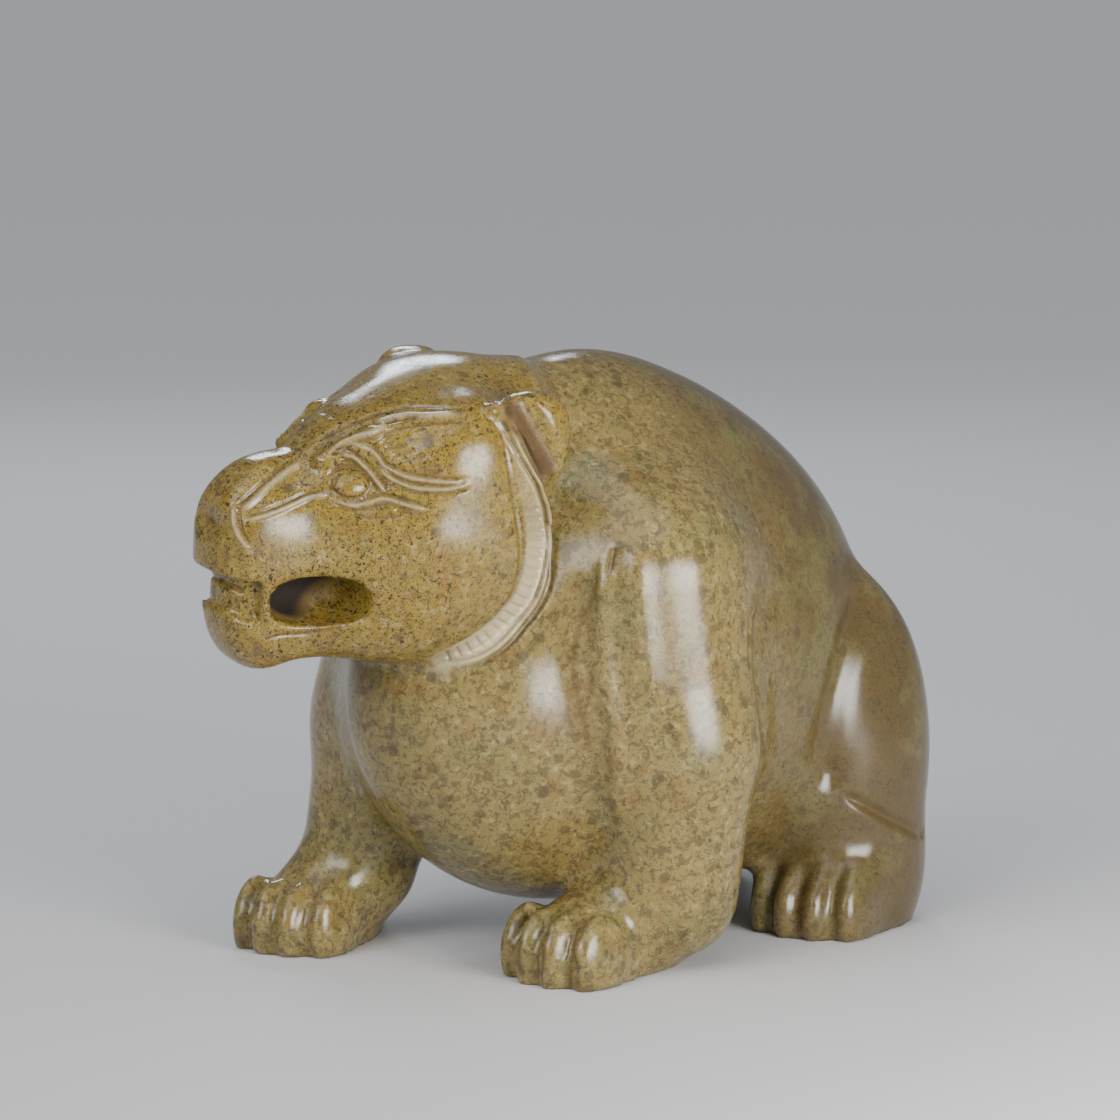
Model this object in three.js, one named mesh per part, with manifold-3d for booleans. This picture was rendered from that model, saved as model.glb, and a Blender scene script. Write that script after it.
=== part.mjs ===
// Jade bear carving: one closed solid standing on four flat soles.
// Millimetres, +Z up. The muzzle points along -Y and the bear's left side lies towards +X.
// The form is a field of blended rounded masses, written in hundredths of the bear's height.
import * as THREE from 'three';
import { MarchingCubes } from 'three/addons/objects/MarchingCubes.js';
import { SimplifyModifier } from 'three/addons/modifiers/SimplifyModifier.js';
import * as BufferGeometryUtils from 'three/addons/utils/BufferGeometryUtils.js';
import Module from 'manifold-3d';

const HEIGHT = 65;
const SHARE = HEIGHT / 100;
const TRIANGLES = 9300;
const GRID = 116;
const COARSE_STEP = 3;
const SEARCH_REACH = 150;
const MIDLINE = -5;
const FLOOR_TRIM = 1.5;

// head: its own frame, turned to the bear's right and a little tilted
const HEAD_AT = [-2, -25.1, 74.4];
const HEAD_TURN = 12;
const HEAD_TILT = 7;
const RUFF_RADIUS = 20.3;
const EYE_AT = [9.3, -20.8, 8.8];
const EYE_RADII = [2.9, 4.2, 3.1];
const EAR_RADII = [4.2, 6.6, 7.6];
const MOUTH_HOLLOW = { at: [13, -26.7, -9.1], radii: [10.8, 7.9, 4.2] };
const TOES = 4;

const radians = THREE.MathUtils.degToRad;
const { abs, max, min, hypot, pow, sqrt, sign } = Math;

function softMin(a, b, k) {
  const h = max(k - abs(a - b), 0) / k;
  return min(a, b) - h * h * k / 4;
}

function softMax(a, b, k) {
  return -softMin(-a, -b, k);
}

function ease(t, from, to) {
  return THREE.MathUtils.smoothstep(t, from, to);
}

function ellipsoid(p, at, radii) {
  const x = (p[0] - at[0]) / radii[0];
  const y = (p[1] - at[1]) / radii[1];
  const z = (p[2] - at[2]) / radii[2];
  const reach = hypot(x, y, z);
  const slope = hypot(x / radii[0], y / radii[1], z / radii[2]);
  return slope < 1e-9 ? -min(...radii) : reach * (reach - 1) / slope;
}

// boxier ellipsoid: the power sets how square it is
function pebble(p, at, radii, power) {
  const x = abs(p[0] - at[0]) / radii[0];
  const y = abs(p[1] - at[1]) / radii[1];
  const z = abs(p[2] - at[2]) / radii[2];
  const sum = pow(x, power) + pow(y, power) + pow(z, power);
  if (sum < 1e-12) return -min(...radii);
  const g = pow(sum, 1 / power - 1);
  const slope = hypot(
    g * pow(x, power - 1) / radii[0],
    g * pow(y, power - 1) / radii[1],
    g * pow(z, power - 1) / radii[2],
  );
  return (pow(sum, 1 / power) - 1) / max(slope, 1e-6);
}

// round cone from a to b
function limb(p, a, b, ra, rb) {
  const ba = [b[0] - a[0], b[1] - a[1], b[2] - a[2]];
  const pa = [p[0] - a[0], p[1] - a[1], p[2] - a[2]];
  const l2 = ba[0] * ba[0] + ba[1] * ba[1] + ba[2] * ba[2];
  const taper = ra - rb;
  const a2 = l2 - taper * taper;
  const y = pa[0] * ba[0] + pa[1] * ba[1] + pa[2] * ba[2];
  const z = y - l2;
  const x2 = (pa[0] * l2 - ba[0] * y) ** 2 + (pa[1] * l2 - ba[1] * y) ** 2 + (pa[2] * l2 - ba[2] * y) ** 2;
  const y2 = y * y * l2;
  const z2 = z * z * l2;
  const k = sign(taper) * taper * taper * x2;
  if (sign(z) * a2 * z2 > k) return sqrt(x2 + z2) / l2 - rb;
  if (sign(y) * a2 * y2 < k) return sqrt(x2 + y2) / l2 - ra;
  return (sqrt(x2 * a2 / l2) + y * taper) / l2 - ra;
}

// a frame standing at a point, turned about Z towards the bear's right, then tilted sideways
function standing(at, turn, tilt = 0) {
  const ct = Math.cos(radians(turn));
  const st = Math.sin(radians(turn));
  const cr = Math.cos(radians(tilt));
  const sr = Math.sin(radians(tilt));
  return (p) => {
    const x = p[0] - at[0];
    const y = p[1] - at[1];
    const z = p[2] - at[2];
    const side = ct * x - st * y;
    return [cr * side - sr * z, st * x + ct * y, sr * side + cr * z];
  };
}

// smooth curve through a few [at, value] pairs
function along(rows) {
  const last = rows.length - 1;
  const slope = (i) => {
    if (i <= 0 || i >= last) return 0;
    return (rows[i + 1][1] - rows[i - 1][1]) / (rows[i + 1][0] - rows[i - 1][0]);
  };
  return (t) => {
    if (t <= rows[0][0]) return rows[0][1];
    if (t >= rows[last][0]) return rows[last][1];
    let i = 0;
    while (t > rows[i + 1][0]) i++;
    const span = rows[i + 1][0] - rows[i][0];
    const u = (t - rows[i][0]) / span;
    const start = (1 + 2 * u) * (1 - u) * (1 - u) * rows[i][1] + u * (1 - u) * (1 - u) * slope(i) * span;
    return start + u * u * (3 - 2 * u) * rows[i + 1][1] + u * u * (u - 1) * slope(i + 1) * span;
  };
}

// profiles of the head along its length: crown, jaw, half width, and the two lip lines
const crown = along([[-43.6, 2], [-42, 5.2], [-40, 8.2], [-36, 11.6], [-32, 12.9], [-27.5, 13.8], [-24, 16.6],
  [-20, 19.2], [-16, 20.6], [-8, 22.4], [0, 22.8], [12, 21.6]]);
const jaw = along([[-42, -15], [-40, -17], [-37, -19.9], [-32.4, -21.8], [-26.6, -20.6], [-21, -20.4], [-13, -21.8],
  [-6, -22.4], [12, -22]]);
const flank = along([[-44, 0], [-43.2, 4], [-41.6, 6.4], [-38.6, 8.2], [-34, 9.4], [-28, 10.4], [-23, 12.2],
  [-17, 15.4], [-11, 17.8], [-4, 19.2], [3, 19.6], [12, 19]]);
const upperLip = along([[-43, -4.8], [-37, -5.5], [-32, -4.8], [-26, -5]]);
const lowerLip = along([[-43, -10.6], [-40, -11.2], [-34, -13], [-29, -14.2], [-22, -13]]);

function section(m, half, middle, top, bottom, power) {
  const rise = m[2] - middle;
  const reach = rise > 0 ? top - middle : middle - bottom;
  const a = m[0] / half;
  const c = abs(rise) / reach;
  const sum = pow(a, power) + pow(c, power);
  if (sum < 1e-9) return -min(half, reach);
  const g = pow(sum, 1 / power - 1);
  const slope = hypot(g * pow(a, power - 1) / half, g * pow(c, power - 1) / reach);
  return (pow(sum, 1 / power) - 1) / max(slope, 1e-6);
}

function torso(p) {
  let d = ellipsoid(p, [MIDLINE, 13, 57], [31, 37, 42]);
  d = softMin(d, ellipsoid(p, [MIDLINE, 35.5, 45.7], [30, 31.8, 38.5]), 16);
  d = softMin(d, ellipsoid(p, [MIDLINE, 4.7, 44.5], [28.5, 41, 36.5]), 6);
  const squeezed = [(p[0] - MIDLINE) / 0.78, p[1], p[2]];
  return softMin(d, 0.85 * limb(squeezed, [0, -17, 80.4], [0, 4, 78.6], 18.6, 18.6), 9);
}

function paw(q, wide, high) {
  const taper = 1 - 0.34 * ease(q[1], -14, 14);
  let d = pebble([q[0] / taper, q[1], q[2]], [0, -1, 1], [wide, 15.5, high], 2.3) * taper;
  for (let i = 0; i < TOES; i++) {
    const fromMiddle = i - (TOES - 1) / 2;
    const toe = [fromMiddle * wide * 0.5, -12.6 + fromMiddle * fromMiddle, high * 0.3];
    d = softMin(d, ellipsoid(q, toe, [wide * 0.29, 6, high * 0.6]), 1.3);
  }
  return d;
}

const nearPaw = standing([15.3, -4, 0], -5);
const farPaw = standing([-34.5, -22, 0], -18);
const leftFoot = standing([16.5, 50.8, 0], -18);
const rightFoot = standing([-28, 52, 0], 14);

function foreleg(body, p, shoulder, elbow, wrist, radii, pawField) {
  let d = softMin(body, limb(p, shoulder, elbow, radii[0], radii[1]), 11);
  let lower = limb(p, elbow, wrist, radii[1] - 0.3, radii[2]);
  lower = softMin(lower, pawField, 6);
  return softMin(d, lower, 5);
}

function hindleg(p, thigh, heel, foot) {
  const haunch = softMin(ellipsoid(p, thigh, [12.2, 15.3, 30]), ellipsoid(p, heel, [10, 11.5, 14.5]), 5);
  return softMin(haunch, paw(foot(p), 10.5, 12.5), 6);
}

function headOf(p) {
  const q = standing(HEAD_AT, HEAD_TURN, HEAD_TILT)(p);
  const m = [abs(q[0]), q[1], q[2]];
  const y = m[1];
  const top = crown(y);
  const half = max(flank(y), 0.3);
  // skull and muzzle, with the nose bridge as a narrower bar along the top
  const step = 2.6 * (1 - ease(y, -32, -24));
  const power = 2.5 + 0.5 * (1 - ease(y, -40, -30)) - 0.5 * ease(y, -8, 6);
  let d = section(m, half, -1, top - step, jaw(y), power);
  const bridge = max(section(m, 6.4, 0, top, -8, 3.2), -42 - y, y + 22);
  d = softMin(d, bridge, 1.2);
  d = softMax(d, -42.2 + 2.4 * ease(-m[2], 7, 13) - y, 4.5);
  // ruff: round rear rim and the bevelled crescent in front of it
  const rim = hypot(max(y + 8.2, 0), min(m[2] + 1.4, 0));
  const inner = hypot(y + 10.3, m[2] + 1.5);
  d = softMax(d, (m[0] - (19.3 - 0.42 * (inner - 14.8))) * 0.85, 0.8);
  d = softMax(d, rim - RUFF_RADIUS, 0.8);
  // parted lips, recessed teeth and a deep hollow on each side
  const parted = max(m[2] - upperLip(y), lowerLip(y) - m[2], y + 35.6);
  const teeth = pebble(m, [0, -27, -9.5], [7.4, 12.3, 11], 3);
  d = softMax(d, -max(parted, -teeth), 0.8);
  d = softMax(d, -pebble(m, MOUTH_HOLLOW.at, MOUTH_HOLLOW.radii, 2.6), 0.8);
  // temple, cut slanting behind where the ear stands
  d = softMin(d, ellipsoid(m, [12, -1.6, 13.4], [6.6, 10.5, 9]), 5);
  const slant = 0.849 * (y - 10.8) + 0.528 * (m[2] - 4.1);
  d = softMax(d, slant - 1.2 * max(16.5 - m[0], 0), 3);
  // brow ridge, shallow socket and eye
  d = softMin(d, limb(m, [6.6, -26, 12.9], [9.4, -18.4, 17.3], 1, 1), 1.6);
  d = softMin(d, limb(m, [9.4, -18.4, 17.3], [13, -8, q[0] < 0 ? 18.3 : 19.6], 1, 0.8), 1.6);
  if (m[0] > 4) d += 1.1 * Math.exp(-(((y + 21.5) / 5.6) ** 2) - ((m[2] - 9.6) / 3.8) ** 2);
  d = softMin(d, ellipsoid(m, EYE_AT, EYE_RADII), 0.6);
  // ear: a rounded lobe with a valley behind its front rim
  const far = q[0] < 0;
  const e = far ? [m[0] - 1.2, y + 4.2, m[2] - 1.4] : m;
  let ear = pebble(far ? [m[0], e[1], e[2]] : m, [16, 6.6, 16.8], EAR_RADII, 2.6);
  ear = softMax(ear, -limb(e, [20.3, 3.2, 22.6], [20.8, 8.9, 13], 2.5, 2), 1);
  if (!far) {
    ear = softMax(ear, -0.747 * (y + 0.9) - 0.664 * (m[2] - 22.4), 1.6);
    ear = softMin(ear, limb(m, [15.3, -0.2, 21.6], [17.8, 7.6, 10.2], 1, 0.9), 1.6);
    ear = softMin(ear, limb(m, [17.8, 7.6, 10.2], [16.4, 11, 3.6], 0.9, 0.7), 1);
  }
  ear = softMin(ear, ellipsoid(e, [11.5, 6.4, 11], [5.8, 6.6, 8]), 3);
  return { skull: d, ear, high: q[2] };
}

function bear(p) {
  let d = torso(p);
  d = foreleg(d, p, [19.2, 2.6, 65], [22.6, 5.2, 38], [20.6, 5.2, 13], [15.6, 13.6, 11.6], paw(nearPaw(p), 10.3, 13));
  d = foreleg(d, p, [-25, -8, 60], [-28, -13, 38], [-30, -18.5, 13], [15.5, 12.6, 9.8], paw(farPaw(p), 10, 13));
  d = softMin(d, hindleg(p, [17.5, 52, 30], [18.5, 54, 9], leftFoot), 6);
  d = softMin(d, hindleg(p, [-28, 52, 30], [-29, 54, 9], rightFoot), 6);
  const head = headOf(p);
  d = softMin(d, head.skull, 0.9 + 12 * ease(head.high, 10, 20));
  d = softMin(d, head.ear, 1.4);
  return max(d, -FLOOR_TRIM - p[2]);
}

// the box that the sampling grid fills: a coarse walk through the form finds its reach
function formBox() {
  const box = new THREE.Box3();
  for (let z = -COARSE_STEP; z < SEARCH_REACH; z += COARSE_STEP) {
    for (let y = -SEARCH_REACH; y < SEARCH_REACH; y += COARSE_STEP) {
      for (let x = -SEARCH_REACH; x < SEARCH_REACH; x += COARSE_STEP) {
        if (bear([x, y, z]) < COARSE_STEP) box.expandByPoint(new THREE.Vector3(x, y, z));
      }
    }
  }
  return box;
}

function skin() {
  const cubes = new MarchingCubes(GRID, new THREE.MeshBasicMaterial(), false, false, 200000);
  cubes.isolation = 0;
  const half = GRID / 2;
  const box = formBox();
  const centre = box.getCenter(new THREE.Vector3()).toArray();
  const reach = box.getSize(new THREE.Vector3()).multiplyScalar(0.5 + 2.5 / GRID).toArray();
  const place = (index, axis) => centre[axis] + reach[axis] * (index - half) / half;
  let cell = 0;
  for (let k = 0; k < GRID; k++) {
    for (let j = 0; j < GRID; j++) {
      for (let i = 0; i < GRID; i++) {
        const depth = -bear([place(i, 0), place(j, 1), place(k, 2)]);
        cubes.field[cell++] = abs(depth) < 0.02 ? (depth < 0 ? -0.02 : 0.02) : depth;
      }
    }
  }
  cubes.update();
  const used = cubes.geometry.drawRange.count * 3;
  const corners = cubes.geometry.attributes.position.array.slice(0, used);
  const geometry = new THREE.BufferGeometry();
  geometry.setAttribute('position', new THREE.BufferAttribute(corners, 3));
  geometry.scale(...reach);
  geometry.translate(...centre);
  geometry.scale(SHARE, SHARE, SHARE);
  return BufferGeometryUtils.mergeVertices(geometry, 1e-4);
}

async function thinned(geometry, triangles) {
  const surplus = (geometry.index.count / 3 - triangles) / 2;
  const simpler = await new SimplifyModifier().modify(geometry, Math.max(0, Math.floor(surplus)));
  const bare = new THREE.BufferGeometry();
  bare.setAttribute('position', simpler.attributes.position);
  bare.setIndex(simpler.index);
  return BufferGeometryUtils.mergeVertices(bare, 1e-4);
}

const wasm = await Module();
wasm.setup();
const { Manifold, Mesh } = wasm;

function solid(geometry) {
  const mesh = new Mesh({
    numProp: 3,
    vertProperties: new Float32Array(geometry.attributes.position.array),
    triVerts: new Uint32Array(geometry.index.array),
  });
  mesh.merge();
  return new Manifold(mesh);
}

function boxBelow(depth) {
  const box = new THREE.BoxGeometry(4 * HEIGHT, 4 * HEIGHT, depth);
  box.translate(0, 0, -depth / 2);
  box.deleteAttribute('normal');
  box.deleteAttribute('uv');
  return BufferGeometryUtils.mergeVertices(box, 1e-4);
}

const rounded = await thinned(skin(), TRIANGLES);
const standingSolid = solid(rounded).subtract(solid(boxBelow(HEIGHT)));
const cut = standingSolid.getMesh();
const body = new THREE.BufferGeometry();
body.setAttribute('position', new THREE.BufferAttribute(new Float32Array(cut.vertProperties), 3));
body.setIndex(new THREE.BufferAttribute(new Uint32Array(cut.triVerts), 1));
body.computeBoundingBox();
const middle = body.boundingBox.getCenter(new THREE.Vector3());
body.translate(-middle.x, -middle.y, 0);
body.computeVertexNormals();

const jade = new THREE.MeshStandardMaterial({ name: 'jade', color: 0x8a7444, roughness: 0.25, metalness: 0 });
const bearMesh = new THREE.Mesh(body, jade);
bearMesh.name = 'jade_bear';

const carving = new THREE.Group();
carving.name = 'jade_bear_carving';
carving.add(bearMesh);
export default carving;
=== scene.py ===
import math
import bmesh
import bpy
import numpy as np
from mathutils import Matrix, Vector


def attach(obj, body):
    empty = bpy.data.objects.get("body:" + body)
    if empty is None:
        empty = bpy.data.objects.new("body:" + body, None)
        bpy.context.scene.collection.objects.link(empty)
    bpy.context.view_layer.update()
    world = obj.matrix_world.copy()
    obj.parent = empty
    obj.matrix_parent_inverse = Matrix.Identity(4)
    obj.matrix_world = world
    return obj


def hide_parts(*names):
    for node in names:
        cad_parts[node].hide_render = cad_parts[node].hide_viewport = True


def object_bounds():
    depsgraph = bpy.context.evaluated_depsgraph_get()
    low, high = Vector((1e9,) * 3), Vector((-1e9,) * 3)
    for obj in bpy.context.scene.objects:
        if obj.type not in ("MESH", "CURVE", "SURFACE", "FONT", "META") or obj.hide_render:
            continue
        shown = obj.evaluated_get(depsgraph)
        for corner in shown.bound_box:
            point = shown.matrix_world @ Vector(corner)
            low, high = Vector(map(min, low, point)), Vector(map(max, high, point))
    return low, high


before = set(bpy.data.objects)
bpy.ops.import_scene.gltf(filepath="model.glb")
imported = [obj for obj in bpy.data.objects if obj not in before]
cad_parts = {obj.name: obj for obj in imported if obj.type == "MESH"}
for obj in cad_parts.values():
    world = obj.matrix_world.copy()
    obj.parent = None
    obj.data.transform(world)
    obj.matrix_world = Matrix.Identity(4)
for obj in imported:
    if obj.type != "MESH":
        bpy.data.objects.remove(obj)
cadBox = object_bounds()
print("frame loaded, box", cadBox)

# the form is written in hundredths of the bear's height; share turns that into metres
place = {"share": 0.00065, "shift": (0.001768, -0.000172)}

midline = -5.0

trunk = {
    "barrel": {"at": (midline, 13, 57), "radii": (31, 37, 42)},
    "rump": {"at": (midline, 35.5, 45.7), "radii": (30, 31.8, 38.5), "blend": 16},
    "belly": {"at": (midline, 4.7, 44.5), "radii": (28.5, 41, 36.5), "blend": 6},
    "neck": {"front": (0, -17, 80.4), "rear": (0, 4, 78.6), "radius": 18.6, "squeeze": 0.78,
             "caution": 0.85, "blend": 9},
}

legs = {
    "leftFore": {"shoulder": (19.2, 2.6, 65), "elbow": (22.6, 5.2, 38), "wrist": (20.6, 5.2, 13),
                 "radii": (15.6, 13.6, 11.6), "paw": (15.3, -4, 0), "turn": -5, "wide": 10.3, "high": 13},
    "rightFore": {"shoulder": (-25, -8, 60), "elbow": (-28, -13, 38), "wrist": (-30, -18.5, 13),
                  "radii": (15.5, 12.6, 9.8), "paw": (-34.5, -22, 0), "turn": -18, "wide": 10, "high": 13},
    "leftHind": {"thigh": (17.5, 52, 30), "heel": (18.5, 54, 9), "paw": (16.5, 50.8, 0), "turn": -18,
                 "wide": 10.5, "high": 12.5},
    "rightHind": {"thigh": (-28, 52, 30), "heel": (-29, 54, 9), "paw": (-28, 52, 0), "turn": 14,
                  "wide": 10.5, "high": 12.5},
}
haunchRadii = {"thigh": (12.2, 15.3, 30), "heel": (10, 11.5, 14.5)}
pawForm = {"at": (0, -1, 1), "long": 15.5, "power": 2.3, "taper": 0.34, "taperFrom": (-14, 14)}
toeForm = {"count": 4, "front": -12.6, "long": 6, "apart": 0.5, "wide": 0.29, "up": 0.3, "high": 0.6}

# the head's own frame: where it stands, its turn to the bear's right and its tilt
headPlace = {"at": (-2.0, -25.1, 74.4), "turn": 12.0, "tilt": 7.0}

# profiles along the head, from the nose back: crown, jaw, half width and the two lips
headProfiles = {
    "crown": [(-43.6, 2), (-42, 5.2), (-40, 8.2), (-36, 11.6), (-32, 12.9), (-27.5, 13.8), (-24, 16.6),
              (-20, 19.2), (-16, 20.6), (-8, 22.4), (0, 22.8), (12, 21.6)],
    "jaw": [(-42, -15), (-40, -17), (-37, -19.9), (-32.4, -21.8), (-26.6, -20.6), (-21, -20.4), (-13, -21.8),
            (-6, -22.4), (12, -22)],
    "flank": [(-44, 0), (-43.2, 4), (-41.6, 6.4), (-38.6, 8.2), (-34, 9.4), (-28, 10.4), (-23, 12.2),
              (-17, 15.4), (-11, 17.8), (-4, 19.2), (3, 19.6), (12, 19)],
    "upperLip": [(-43, -4.8), (-37, -5.5), (-32, -4.8), (-26, -5)],
    "lowerLip": [(-43, -10.6), (-40, -11.2), (-34, -13), (-29, -14.2), (-22, -13)],
}

headMasses = {
    "nose": {"front": -42.2, "chinBack": 2.4},
    "bridge": {"half": 6.4, "bottom": -8, "front": -42, "rear": -22},
    "ruff": {"centre": (-8.2, -1.4), "radius": 20.3, "bevelCentre": (-10.3, -1.5), "bevelFrom": 14.8,
             "bevelSlope": 0.42, "half": 19.3},
    "parting": -35.6,
    "teeth": {"at": (0, -27, -9.5), "radii": (7.4, 12.3, 11)},
    "mouth": {"at": (13, -26.7, -9.1), "radii": (10.8, 7.9, 4.2)},
    "temple": {"at": (12, -1.6, 13.4), "radii": (6.6, 10.5, 9)},
    "nape": {"slope": (0.849, 0.528), "at": (10.8, 4.1), "from": 16.5},
    "brow": {"front": (6.6, -26, 12.9), "middle": (9.4, -18.4, 17.3), "rear": (13, -8),
             "high": 19.6, "farHigh": 18.3},
    "socket": {"at": (-21.5, 9.6), "reach": (5.6, 3.8), "deep": 1.1, "from": 4},
    "eye": {"at": (9.3, -20.8, 8.8), "radii": (2.9, 4.2, 3.1)},
}

earMasses = {
    "farShift": (1.2, 4.2, -1.4),
    "lobe": {"at": (16, 6.6, 16.8), "radii": (4.2, 6.6, 7.6)},
    "valley": {"top": (20.3, 3.2, 22.6), "foot": (20.8, 8.9, 13), "radii": (2.5, 2)},
    "frontCut": {"slope": (0.747, 0.664), "at": (-0.9, 22.4)},
    "rim": [((15.3, -0.2, 21.6), 1), ((17.8, 7.6, 10.2), 0.9), ((16.4, 11, 3.6), 0.7)],
    "root": {"at": (11.5, 6.4, 11), "radii": (5.8, 6.6, 8)},
}


def softMin(a, b, k):
    h = np.maximum(k - np.abs(a - b), 0) / k
    return np.minimum(a, b) - h * h * k / 4


def softMax(a, b, k):
    return -softMin(-a, -b, k)


def ease(t, low, high):
    u = np.clip((t - low) / (high - low), 0, 1)
    return u * u * (3 - 2 * u)


def ellipsoid(p, at, radii):
    v = [(p[i] - at[i]) / radii[i] for i in range(3)]
    reach = np.sqrt(v[0] ** 2 + v[1] ** 2 + v[2] ** 2)
    slope = np.sqrt(sum((v[i] / radii[i]) ** 2 for i in range(3)))
    return reach * (reach - 1) / np.maximum(slope, 1e-9)


# an ellipsoid with fuller or flatter sides
def pebble(p, at, radii, power):
    v = [np.abs(p[i] - at[i]) / radii[i] for i in range(3)]
    total = np.maximum(v[0] ** power + v[1] ** power + v[2] ** power, 1e-12)
    g = total ** (1 / power - 1)
    slope = np.sqrt(sum((g * v[i] ** (power - 1) / radii[i]) ** 2 for i in range(3)))
    return (total ** (1 / power) - 1) / np.maximum(slope, 1e-6)


# round cone from a to b
def limb(p, a, b, ra, rb):
    ba = [b[i] - a[i] for i in range(3)]
    pa = [p[i] - a[i] for i in range(3)]
    l2 = ba[0] ** 2 + ba[1] ** 2 + ba[2] ** 2
    taper = ra - rb
    a2 = l2 - taper * taper
    y = pa[0] * ba[0] + pa[1] * ba[1] + pa[2] * ba[2]
    z = y - l2
    x2 = sum((pa[i] * l2 - ba[i] * y) ** 2 for i in range(3))
    y2 = y * y * l2
    z2 = z * z * l2
    k = np.sign(taper) * taper * taper * x2
    side = (np.sqrt(x2 * a2 / l2) + y * taper) / l2 - ra
    start = np.sqrt(x2 + y2) / l2 - ra
    end = np.sqrt(x2 + z2) / l2 - rb
    return np.where(np.sign(z) * a2 * z2 > k, end, np.where(np.sign(y) * a2 * y2 < k, start, side))


# a frame standing at a point, turned about the upright and then tilted sideways
def standing(p, at, turn, tilt=0.0):
    ct, st = np.cos(np.radians(turn)), np.sin(np.radians(turn))
    cr, sr = np.cos(np.radians(tilt)), np.sin(np.radians(tilt))
    x, y, z = p[0] - at[0], p[1] - at[1], p[2] - at[2]
    across = ct * x - st * y
    return [cr * across - sr * z, st * x + ct * y, sr * across + cr * z]


# smooth curve through a few pairs of place and value
def along(t, rows):
    at = np.array([row[0] for row in rows], float)
    value = np.array([row[1] for row in rows], float)
    slope = np.zeros(len(rows))
    slope[1:-1] = (value[2:] - value[:-2]) / (at[2:] - at[:-2])
    t = np.clip(t, at[0], at[-1])
    i = np.clip(np.searchsorted(at, t, side="right") - 1, 0, len(rows) - 2)
    span = at[i + 1] - at[i]
    u = (t - at[i]) / span
    start = (1 + 2 * u) * (1 - u) ** 2 * value[i] + u * (1 - u) ** 2 * slope[i] * span
    return start + u * u * (3 - 2 * u) * value[i + 1] + u * u * (u - 1) * slope[i + 1] * span


def section(across, height, half, middle, top, bottom, power):
    rise = height - middle
    reach = np.where(rise > 0, top - middle, middle - bottom)
    a = across / half
    c = np.abs(rise) / reach
    total = np.maximum(a ** power + c ** power, 1e-9)
    g = total ** (1 / power - 1)
    slope = np.sqrt((g * a ** (power - 1) / half) ** 2 + (g * c ** (power - 1) / reach) ** 2)
    return (total ** (1 / power) - 1) / np.maximum(slope, 1e-6)


def torso(p):
    barrel, rump, belly, neck = trunk["barrel"], trunk["rump"], trunk["belly"], trunk["neck"]
    d = ellipsoid(p, barrel["at"], barrel["radii"])
    d = softMin(d, ellipsoid(p, rump["at"], rump["radii"]), rump["blend"])
    d = softMin(d, ellipsoid(p, belly["at"], belly["radii"]), belly["blend"])
    squeezed = [(p[0] - midline) / neck["squeeze"], p[1], p[2]]
    roll = limb(squeezed, neck["front"], neck["rear"], neck["radius"], neck["radius"])
    return softMin(d, neck["caution"] * roll, neck["blend"])


def paw(p, leg):
    q = standing(p, leg["paw"], leg["turn"])
    wide, high = leg["wide"], leg["high"]
    taper = 1 - pawForm["taper"] * ease(q[1], *pawForm["taperFrom"])
    radii = (wide, pawForm["long"], high)
    d = pebble([q[0] / taper, q[1], q[2]], pawForm["at"], radii, pawForm["power"]) * taper
    for i in range(toeForm["count"]):
        offset = i - (toeForm["count"] - 1) / 2
        toe = (offset * wide * toeForm["apart"], toeForm["front"] + offset * offset, high * toeForm["up"])
        radii = (wide * toeForm["wide"], toeForm["long"], high * toeForm["high"])
        d = softMin(d, ellipsoid(q, toe, radii), 1.3)
    return d


def foreleg(body, p, leg):
    radii = leg["radii"]
    d = softMin(body, limb(p, leg["shoulder"], leg["elbow"], radii[0], radii[1]), 11)
    lower = softMin(limb(p, leg["elbow"], leg["wrist"], radii[1] - 0.3, radii[2]), paw(p, leg), 6)
    return softMin(d, lower, 5)


def hindleg(body, p, leg):
    thigh = ellipsoid(p, leg["thigh"], haunchRadii["thigh"])
    haunch = softMin(thigh, ellipsoid(p, leg["heel"], haunchRadii["heel"]), 5)
    return softMin(body, softMin(haunch, paw(p, leg), 6), 6)


def headFrame(p):
    return standing(p, headPlace["at"], headPlace["turn"], headPlace["tilt"])


# skull and muzzle with the nose bridge as a narrower bar, then the ruff's rim and bevel
def skullForm(m):
    y, z = m[1], m[2]
    nose, bar, ruff = headMasses["nose"], headMasses["bridge"], headMasses["ruff"]
    top = along(y, headProfiles["crown"])
    half = np.maximum(along(y, headProfiles["flank"]), 0.3)
    bottom = along(y, headProfiles["jaw"])
    step = 2.6 * (1 - ease(y, -32, -24))
    power = 2.5 + 0.5 * (1 - ease(y, -40, -30)) - 0.5 * ease(y, -8, 6)
    d = section(m[0], z, half, -1, top - step, bottom, power)
    bridge = section(m[0], z, bar["half"], 0, top, bar["bottom"], 3.2)
    bridge = np.maximum(np.maximum(bridge, bar["front"] - y), y - bar["rear"])
    d = softMin(d, bridge, 1.2)
    d = softMax(d, nose["front"] + nose["chinBack"] * ease(-z, 7, 13) - y, 4.5)
    rim = np.hypot(np.maximum(y - ruff["centre"][0], 0), np.minimum(z - ruff["centre"][1], 0))
    inner = np.hypot(y - ruff["bevelCentre"][0], z - ruff["bevelCentre"][1])
    bevel = ruff["half"] - ruff["bevelSlope"] * (inner - ruff["bevelFrom"])
    d = softMax(d, (m[0] - bevel) * 0.85, 0.8)
    return softMax(d, rim - ruff["radius"], 0.8)


# parted lips, recessed teeth and a deep hollow on each side
def mouthForm(d, m):
    y, z = m[1], m[2]
    teeth, hollow = headMasses["teeth"], headMasses["mouth"]
    above = z - along(y, headProfiles["upperLip"])
    below = along(y, headProfiles["lowerLip"]) - z
    parted = np.maximum(np.maximum(above, below), y - headMasses["parting"])
    d = softMax(d, -np.maximum(parted, -pebble(m, teeth["at"], teeth["radii"], 3)), 0.8)
    return softMax(d, -pebble(m, hollow["at"], hollow["radii"], 2.6), 0.8)


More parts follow.
